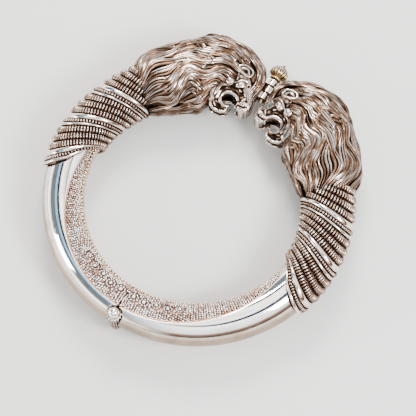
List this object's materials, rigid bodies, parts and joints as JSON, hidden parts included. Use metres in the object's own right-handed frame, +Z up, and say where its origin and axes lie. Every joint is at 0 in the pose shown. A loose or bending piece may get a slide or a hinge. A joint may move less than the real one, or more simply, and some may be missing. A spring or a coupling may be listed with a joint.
{
  "type": "kada bangle with lion heads",
  "caption": "Hinged silver kada bangle: polished hollow tube, granulated lining, wire-wound collars and facing lion heads, closed by a screw pin.",
  "frame": {"origin": "middle of the outline, on the surface that the bangle lies on", "axes": "+Z up through the wrist opening, +Y from the hinge to the clasp, +X towards the half that swings"},
  "size_m": [0.0822, 0.0848, 0.016],
  "materials": {
    "polished_silver": "mirror-polished silver, warm at the edges",
    "granulated_silver": "silver granules with rose-brown tarnish between them",
    "wire_silver": "beaded and plain silver wire with brown tarnish in the grooves",
    "carved_silver": "chased silver, bright on the ridges and brown in the grooves",
    "gilt_silver": "worn gilding over silver"
  },
  "bodies": {
    "left_half": {"left_tube": "polished_silver", "left_lining": "granulated_silver", "left_collar": "wire_silver", "left_head": "carved_silver", "left_clasp_knuckle_outer": "polished_silver", "left_clasp_knuckle_inner": "polished_silver", "hinge_pin": "polished_silver"},
    "right_half": {"right_tube": "polished_silver", "right_lining": "granulated_silver", "right_collar": "wire_silver", "right_head": "carved_silver", "right_clasp_knuckle": "polished_silver"},
    "clasp_screw": {"clasp_screw": "gilt_silver"}
  },
  "joints": [
    {"name": "hinge", "type": "hinge", "parent": "left_half", "child": "right_half", "pos_m": [0, -0.04055, 0.008], "axis": [0, 0, -1], "range_deg": [0, 60]},
    {"name": "screw_out", "type": "slide", "parent": "left_half", "child": "clasp_screw", "axis": [0, 1, 0], "range_m": [0, 0.01]}
  ]
}
